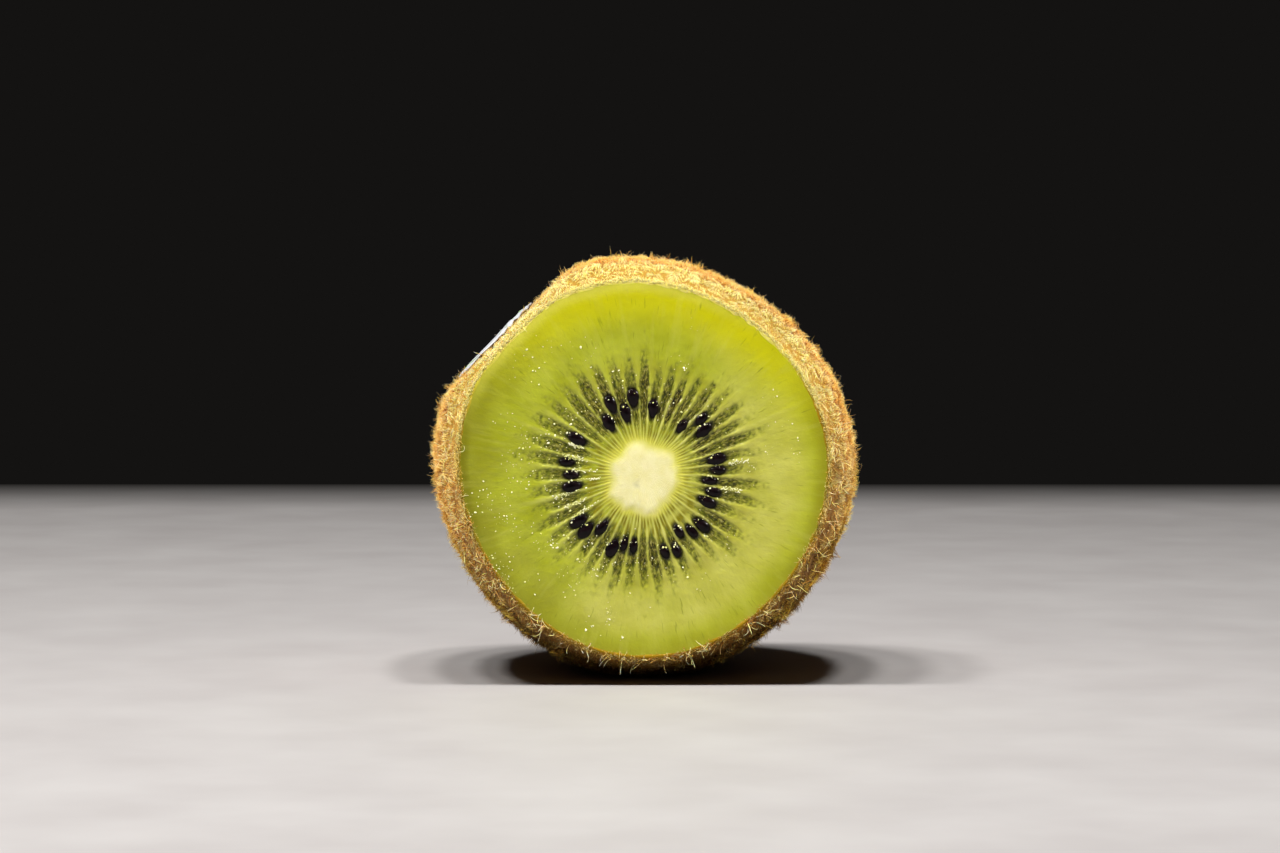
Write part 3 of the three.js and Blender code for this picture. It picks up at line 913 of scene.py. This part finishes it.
def scar_piece():
    """The scar of the stalk: a low, cracked, corky disc in the hollow of the far end."""
    angle = directions(72)
    rings = []
    for radius, height in SCAR_PROFILE:
        ring = xyz(radius * np.cos(angle), height, radius * np.sin(angle))
        wide = 1 + 0.05 * ripples(ring, 1.5, 82)
        rough = 0.035 * ripples(ring, 0.8, 81) if height > 0 else 0
        rings.append(ring * xyz(wide, 1, wide) + xyz(0, rough, 0) + SCAR_PLACE)
    inside, outside = (SCAR_PLACE + np.array([0, height, 0]) for height in (-0.9, 0.38))
    make_piece("stalk_scar", loft(rings, inside, outside), stalk_wood())


# ---- Down ----


def sticker_share(angle, y):
    """0 in the sticker's middle and 1 on its edge."""
    reach = skin_radius(STICKER_ANGLE, GIRTH_Y)
    across = (angle - STICKER_ANGLE) * reach / (STICKER_WIDTH / 2)
    along = (y - GIRTH_Y + STICKER_BEFORE_GIRTH) / (STICKER_LENGTH / 2)
    return np.hypot(across, along)


def down_roots(count, sticker_end=0.97):
    """Places on the skin, the same number to each square millimetre, that the sticker, the
    stalk's scar and the table leave free. sticker_end is the share of the sticker kept free."""
    turns = np.linspace(CUT_TURN + 0.002, math.pi - 0.02, 400)
    radius = skin_radius(1.0, skin_along(turns))
    step = np.hypot(np.gradient(skin_along(turns)), np.gradient(radius))
    area = np.cumsum(radius * step)
    turn = np.interp(rng.uniform(0, area[-1], count), area, turns)
    angle = rng.uniform(0, 2 * math.pi, count)
    here = skin_point(angle, skin_along(turn))
    from_scar = np.hypot(here[:, 0] - AXIS_X, here[:, 2] - AXIS_Z) + 9 * (turn < 2.5)
    free = (sticker_share(angle, skin_along(turn)) > sticker_end) & (here[:, 2] > 0.2)
    free &= from_scar > SCAR_RADIUS + 0.3
    return angle[free], turn[free]


def down_share(angle, turn):
    """How long the down is against its full length: shorter beside the cut, most of all on top,
    and under the sticker's edge."""
    y = skin_along(turn)
    from_cut = 0.5 + 0.5 * smooth(0.5, 7.0, y - CUT_Y)
    from_cut = from_cut * (1 - 0.28 * smooth(0.4, 1.0, np.sin(angle)))
    from_sheet = sticker_share(angle, np.maximum(y, CUT_Y + 4))
    by_sheet = 0.4 + 0.5 * smooth(0.97, 1.07, from_sheet) + 0.1 * smooth(1.1, 1.7, from_sheet)
    return np.minimum(from_cut, by_sheet)[:, None]


def down_marks(points, marks):
    """Adds what else a hair's colour goes by: how near the cut it is, whether it is in the yellow
    band beside the cut on top, which is painted light, and how much of the light the fruit and the
    table take from it, which is painted shade."""
    x, z = points[:, 0] - AXIS_X, points[:, 2]
    right = x / np.maximum(np.hypot(x, z - AXIS_Z), 1e-9)
    from_cut = points[:, 1] - CUT_Y + 0.9 * ripples(points, 1.5, 105)
    band = from_cut - 1.3 * smooth(26, 42, z) + 1.1 * ripples(points, 6, 108)
    wavy = z + 1.2 * ripples(points, 2.0, 107)
    behind = smooth(1.5, 5.0, from_cut)
    # low is painted shade: darker towards the table, and near the cut on the right.
    low = 0.62 * (1 - smooth(7, 24, wavy)) + 0.3 * behind * (1 - smooth(10, 21, wavy))
    lowest = 0.5 * (1 - smooth(4, 11, wavy)) + 0.4 * smooth(0.3, 0.8, right) * (z < AXIS_Z)
    low = low + behind * lowest
    inner = smooth(0, 0.8, from_cut) * (1 - smooth(2.0, 4.5, from_cut)) * (1 - smooth(24, 33, z))
    low = low + 0.5 * smooth(0.6, 0.95, right) * inner
    return {
        # beside is painted light: the yellow band beside the cut on top.
        **marks,
        "near": 1 - smooth(3, 9, band),
        "beside": 0.85 * (1 - smooth(2.5, 8.5, band)) * smooth(16, 37, z),
        "low": np.minimum(low, 0.95),
    }


def hair_mesh(paths, width, end, widest=1.3):
    """Three-sided tapering hairs, closed at the root and pointed at the tip. paths holds the
    points of each hair from root to tip, width is about the width of its root, and end the share
    of it before the tip. The marks say how far along its hair a point is, and give each hair a
    tone of its own."""
    count, stations = paths.shape[:2]
    widths = width * np.linspace(1, end, stations - 1) * rng.uniform(0.7, widest, (count, 1))
    way = unit(np.gradient(paths, axis=1))
    up = np.where(np.abs(way[..., 2:3]) > 0.9, np.array([1.0, 0, 0]), np.array([0, 0, 1.0]))
    side = unit(np.cross(way, up))
    other = np.cross(way, side)
    corners = []
    for turn in directions(3):
        offset = side * math.cos(turn) + other * math.sin(turn)
        corners.append(paths[:, :-1] + offset[:, :-1] * (widths[..., None] / 2))
    body = np.stack(corners, axis=2).reshape(count, (stations - 1) * 3, 3)
    points = np.concatenate([body, paths[:, -1:]], axis=1)
    along = np.append(np.repeat(np.arange(stations - 1) / (stations - 1), 3), 1.0)
    per_hair = points.shape[1]
    quads, triangles = [], [[0, 2, 1]]
    for corner in range(3):
        after = (corner + 1) % 3
        for low in range(0, (stations - 2) * 3, 3):
            quads.append([low + corner, low + after, low + 3 + after, low + 3 + corner])
        last = (stations - 2) * 3
        triangles.append([last + corner, last + after, per_hair - 1])
    starts = (np.arange(count) * per_hair)[:, None, None]
    groups = [np.array(group) for group in (triangles, quads) if group]
    faces = [(group + starts).reshape(-1, group.shape[1]) for group in groups]
    marks = {"along": np.tile(along, count), "tone": np.repeat(rng.uniform(0, 1, count), per_hair)}
    return points.reshape(-1, 3), faces, marks


def coat_piece(name, down, *hairs):
    """Hairs of the coat, pressed flat where they would reach into the table."""
    points, faces, marks = hair_mesh(*hairs)
    points[:, 2] = np.maximum(points[:, 2], 0.0)
    make_piece(name, (points, faces), down, down_marks(points, marks))


def leaning(normal, along, across, spread):
    """Ways out of the skin that lean to any side, about as far as spread says."""
    lean = rng.normal(0, spread, (2, len(normal), 1))
    return normal + along * lean[0] + across * lean[1]


def tuft_tips():
    """Where tufts of down come together: the points above the skin, and a tree to find them by."""
    angle, turn = down_roots(TUFTS)
    here, *ways = skin_frame(angle, turn)
    way = leaning(*ways, 0.4)
    height = 0.25 + rng.uniform(0, 1, (len(here), 1)) ** 1.8
    tips = here + way * (height * down_share(angle, turn))
    tree = kdtree.KDTree(len(here))
    for number, place in enumerate(here):
        tree.insert(Vector(place), number)
    tree.balance()
    return tips, tree


def down_piece(down, tufts, name, count, length, width, stations, stray, pull):
    """A coat of down: hairs that stand up from the skin and come together in tufts. Only the short
    ones grow on under the sticker's edge."""
    angle, turn = down_roots(count, 0.97 if length[1] > 1 else 0.74)
    here, normal, *sideways = skin_frame(angle, turn)
    count = len(here)
    size = rng.uniform(*length, (count, 1)) * (1 + 0.3 * ripples(here, 1.6, 104)[:, None])
    size = size * down_share(angle, turn)
    tip = here + unit(leaning(normal, *sideways, stray)) * size
    tips, tree = tufts
    goal = tips[[tree.find(Vector(place))[1] for place in here]]
    tip = tip + (goal - tip) * pull * rng.uniform(0.35, 1, (count, 1))
    root = here - normal * 0.06
    bend = root + (tip - root) * 0.45 + normal * size * 0.22
    bend = bend + rng.normal(0, 0.09, (count, 3)) * size
    t = np.linspace(0, 1, stations)[None, :, None]
    paths = root[:, None] * (1 - t) ** 2 + bend[:, None] * 2 * t * (1 - t) + tip[:, None] * t**2
    paths[..., 1] = np.maximum(paths[..., 1], CUT_Y - 0.45)
    coat_piece(name, down, paths, width, 0.5)


def stray_tufts_piece(down):
    """Clumps of longer hairs that stand out of the coat here and there."""
    angle, turn = down_roots(STRAY_TUFTS)
    here, normal, along, across = skin_frame(angle, turn)
    way = leaning(normal, along, across, 0.5)
    height = rng.uniform(0.5, 1.2, (len(here), 1)) * down_share(angle, turn)
    tips = here + way * height
    tuft = np.repeat(np.arange(len(here)), rng.integers(7, 17, len(here)))
    count = len(tuft)
    spread = rng.normal(0, 0.4, (2, count, 1))
    root = here[tuft] + along[tuft] * spread[0] + across[tuft] * spread[1] - normal[tuft] * 0.08
    tip = tips[tuft] + rng.normal(0, 0.22, (count, 3))
    bend = root + (tip - root) * 0.45 + normal[tuft] * height[tuft] * 0.2
    coat_piece("down_stray", down, np.stack([root, bend, tip], axis=1), 0.06, 0.75, 1.2)


def rim_fringe_piece():
    """Short hairs along the lip of the cut skin that lean over the flesh's edge. On top they stand
    further out and leave the lip bare."""
    turn = CUT_TURN + rng.uniform(-0.004, 0.03, RIM_HAIRS)
    angle = rng.uniform(0, 2 * math.pi, RIM_HAIRS)
    here, normal, along, across = skin_frame(angle, turn)
    here[:, 1] = np.maximum(here[:, 1], CUT_Y)
    raised = smooth(14, 38, here[:, 2:])
    way = normal * (rng.uniform(-0.4, 1.0, (RIM_HAIRS, 1)) + 0.35 * raised)
    way = way - along * rng.uniform(0.2, 1.0, (RIM_HAIRS, 1))
    way = unit(way + across * rng.normal(0, 0.7, (RIM_HAIRS, 1)))
    size = rng.uniform(0.25, 0.7, (RIM_HAIRS, 1)) * (1 + 0.4 * ripples(here, 1.3, 106)[:, None])
    root = here - normal * rng.uniform(0.05, 0.42, (RIM_HAIRS, 1)) * (1 - 0.6 * raised)
    bend = root + way * size * 0.5 + rng.normal(0, 0.07, (RIM_HAIRS, 3))
    paths = np.stack([root, bend, root + way * size], axis=1)
    paths[:, 1:, 1] = np.minimum(paths[:, 1:, 1], CUT_Y - 0.02)
    paths[..., 2] = np.maximum(paths[..., 2], 0.05)
    points, faces, marks = hair_mesh(paths, 0.08, 0.7)
    marks = down_marks(points, marks)
    # On top the hairs are painted paler, cream and without dark roots, as painted light, and their
    # painted shade towards the table is weaker.
    high = smooth(14, 38, points[:, 2])
    marks["along"] = high * 0.5 + (1 - 0.5 * high) * marks["along"]
    marks["tone"] = np.maximum(marks["tone"], 0.82 * high)
    marks["low"] = 0.55 * marks["low"]
    down = kiwi_down("rim_down", "#8e6c10", "#cf9a26", "#e4c056", glow=0.2)
    make_piece("rim_fringe", (points, faces), down, marks)


def edge_hair_piece():
    """Longer pale hairs that the knife left curling over the edge of the cut, many in clumps."""
    clumps = np.repeat(np.radians(HAIR_CLUMPS), rng.integers(2, 7, len(HAIR_CLUMPS)))
    clumps = clumps + rng.normal(0, 0.012, len(clumps))
    lower = rng.normal(math.radians(275), math.radians(75), EDGE_HAIRS)
    flanks = rng.normal(0, 0.45, EDGE_HAIRS) + math.pi * (rng.uniform(0, 1, EDGE_HAIRS) < 0.35)
    angle = np.concatenate([clumps, lower, flanks])
    count = len(angle)
    turn = CUT_TURN + rng.uniform(0.0, 0.05, count)
    flank = np.abs(np.cos(angle)) > 0.75
    turn[flank] += rng.uniform(0.0, 0.13, flank.sum())
    here, normal, along, across = skin_frame(angle, turn)
    here = here + normal * 0.4 * smooth(0.03, 0.1, turn - CUT_TURN)[:, None]
    size = rng.uniform(0.7, 2.0, (count, 1))
    size[: len(clumps)] += 0.3
    bearing = rng.normal(math.pi, 0.8, (count, 1))
    steep = rng.uniform(0.2, 1.2, (count, 1))
    curl = rng.normal(0, 1.7, (count, 1))
    roll = rng.normal(-0.4, 1.1, (count, 1))
    spot = here - normal * 0.05
    path = [spot]
    for share in np.linspace(0, 1, EDGE_HAIR_STATIONS)[1:]:
        heading = bearing + curl * share
        slope = steep + roll * share
        flat = along * np.cos(heading) + across * np.sin(heading)
        step = size / (EDGE_HAIR_STATIONS - 1)
        spot = spot + (flat * np.cos(slope) + normal * np.sin(slope)) * step
        path.append(spot)
    paths = np.stack(path, axis=1)
    # A hair that would run into the flesh lies on it instead.
    x, z = paths[..., 0] - AXIS_X, paths[..., 2] - AXIS_Z
    rim = skin_radius(np.arctan2(z, x), np.full(x.shape, CUT_Y))
    inside = (np.hypot(x, z) < rim - 0.1) & (paths[..., 1] > CUT_Y - 0.08)
    paths[..., 1] = np.where(inside, CUT_Y - 0.08, paths[..., 1])
    paths[..., 2] = np.maximum(paths[..., 2], 0.05)
    points, faces, marks = hair_mesh(paths, 0.105, 0.45)
    even = np.zeros(len(points))
    marks.update(near=even + 1, beside=even + 0.1, low=even)
    down = kiwi_down("edge_hair", "#c99a4e", "#f2dba4", "#fff6dc")
    make_piece("edge_hairs", (points, faces), down, marks)


# ---- Sticker ----


def sticker_piece():
    """A thin oval sheet, held off the skin by the down, with a crinkled edge."""
    turn = directions(96)
    reach = float(skin_radius(STICKER_ANGLE, GIRTH_Y))

    def ring(share, lift):
        angle = STICKER_ANGLE + share * STICKER_WIDTH / 2 * np.cos(turn) / reach
        y = GIRTH_Y - STICKER_BEFORE_GIRTH + share * STICKER_LENGTH / 2 * np.sin(turn)
        place = skin_point(angle, y)
        upper = smooth(37.0, 39.5, place[:, 2])
        crinkle = 0.4 * upper * (1 + ripples(place, 0.9, 91)) + 0.3 * ripples(place, 3, 92)
        crown = STICKER_CROWN * (1 - share**3)
        return skin_point(angle, y, lift + crown + STICKER_CRINKLE * share * crinkle)

    shares = (np.arange(12) + 1) / 12
    lifts = (STICKER_GAP, STICKER_GAP + STICKER_THICKNESS)
    under = [ring(share, lifts[0]) for share in shares]
    over = [ring(share, lifts[1]) for share in shares[::-1]]
    over[0] = (over[0] + under[-1]) / 2 + (over[0] - under[-1]) * 0.35
    middles = [skin_point(STICKER_ANGLE, GIRTH_Y - STICKER_BEFORE_GIRTH, lift) for lift in lifts]
    share = np.concatenate([np.repeat([*shares, *shares[::-1]], len(turn)), [0, 0]])
    body = loft(under + over, *middles)
    piece = make_piece("sticker_sheet", body, label_paper(), {"share": share})
    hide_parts("sticker")


# ---- The whole fruit ----

flesh_piece()
seeds_piece()
juice_piece()
skin_piece()
scar_piece()
sticker_piece()

tufts = tuft_tips()
coat = kiwi_down("down_coat", "#a8662a", "#f2a246", "#f7b45c")
undercoat = kiwi_down("down_undercoat", "#7a4812", "#dc8e34", "#f0a84c")
pale = kiwi_down("down_long", "#b07f38", "#e6c07a", "#fdf0d2")
for down, row in zip((undercoat, coat, coat, pale), COATS):
    down_piece(down, tufts, *row)
stray_tufts_piece(coat)
rim_fringe_piece()
edge_hair_piece()

# ---- Table, light and camera ----

FRUIT_MIDDLE = (0, 0, 24)
TABLE_HALF_WIDTH = 900
TABLE_END = 275
OVERHEAD_LAMPS_X = (64, -26, -126, -206)
WARM_WHITE = "#fffaf4"
# The camera looks down on the cut by this angle from this far; its lens, sensor and frame, and how
# many of the frame's pixels the cut's middle is below the frame's.
ELEVATION = math.radians(4.25)
TO_CUT = 450
CAMERA_X = -0.55
LENS = 112.8
SENSOR = 36
FRAME_WIDTH = 1280
FACE_BELOW_CENTRE = 46


def table_top():
    """The floor: a flat sheet that ends behind the fruit."""
    mesh = bpy.data.meshes.new("table_top")
    side = TABLE_HALF_WIDTH
    corners = [(-side, -side, 0), (side, -side, 0), (side, TABLE_END, 0), (-side, TABLE_END, 0)]
    mesh.from_pydata([[c * MM for c in p] for p in corners], [], [(0, 1, 2, 3)])
    mesh.materials.append(table_laminate())
    table = bpy.data.objects.new("table_top", mesh)
    bpy.context.scene.collection.objects.link(table)
    return table


def soft_light(name, place, size, power, colour, lit):
    """A rectangular lamp that faces the fruit. lit is the group of objects that it reaches."""
    lamp = bpy.data.lights.new(name, "AREA")
    lamp.shape = "RECTANGLE"
    lamp.size, lamp.size_y = size[0] * MM, size[1] * MM
    lamp.energy = power
    lamp.color = linear(colour)[:3]
    light = bpy.data.objects.new(name, lamp)
    light.location = Vector(place) * MM
    light.rotation_euler = (Vector(FRUIT_MIDDLE) - Vector(place)).to_track_quat("-Z", "Y").to_euler()
    bpy.context.scene.collection.objects.link(light)
    light.light_linking.receiver_collection = lit
    return light


# The table has overhead lamps of its own, so that the shadow under the fruit stays deep, and the
# fruit has softer ones from the front and the sides.
fruit_pieces = bpy.data.collections.new("fruit_pieces")
for thing in bpy.context.scene.objects:
    fruit_pieces.objects.link(thing)
table_pieces = bpy.data.collections.new("table_pieces")
table_pieces.objects.link(table_top())
for number, across in enumerate(OVERHEAD_LAMPS_X, 1):
    soft_light(f"table_{number}", (across, -36, 480), (50, 50), 0.85, WARM_WHITE, table_pieces)
    soft_light(f"overhead_{number}", (across, -210, 480), (25, 25), 0.17, WARM_WHITE, fruit_pieces)
soft_light("right", (400, -60, 305), (90, 90), 3.4, WARM_WHITE, fruit_pieces)
soft_light("left", (-400, -60, 305), (90, 90), 3.05, WARM_WHITE, fruit_pieces)
front = soft_light("front", (-60, -420, 430), (240, 160), 2.0, "#fffcf7", fruit_pieces)
front.visible_glossy = False
soft_light("back_fill", (150, 700, 420), (400, 300), 0.4, "#fff6ea", fruit_pieces)

world = bpy.data.worlds.new("dark_room")
world.use_nodes = True
world.node_tree.nodes["Background"].inputs[0].default_value = linear("#141312")
bpy.context.scene.world = world
bpy.context.scene.view_settings.view_transform = "Standard"

camera_data = bpy.data.cameras.new("camera")
camera_data.lens = LENS
camera_data.sensor_width = SENSOR
camera_data.clip_start = 0.01
camera = bpy.data.objects.new("camera", camera_data)
pitch = ELEVATION - math.atan(FACE_BELOW_CENTRE / (LENS / SENSOR * FRAME_WIDTH))
camera.location = (
    CAMERA_X * MM,
    (CUT_Y - TO_CUT * math.cos(ELEVATION)) * MM,
    (FRUIT_MIDDLE[2] + TO_CUT * math.sin(ELEVATION)) * MM,
)
camera.rotation_euler = (math.pi / 2 - pitch, 0, 0)
bpy.context.scene.collection.objects.link(camera)
bpy.context.scene.camera = camera
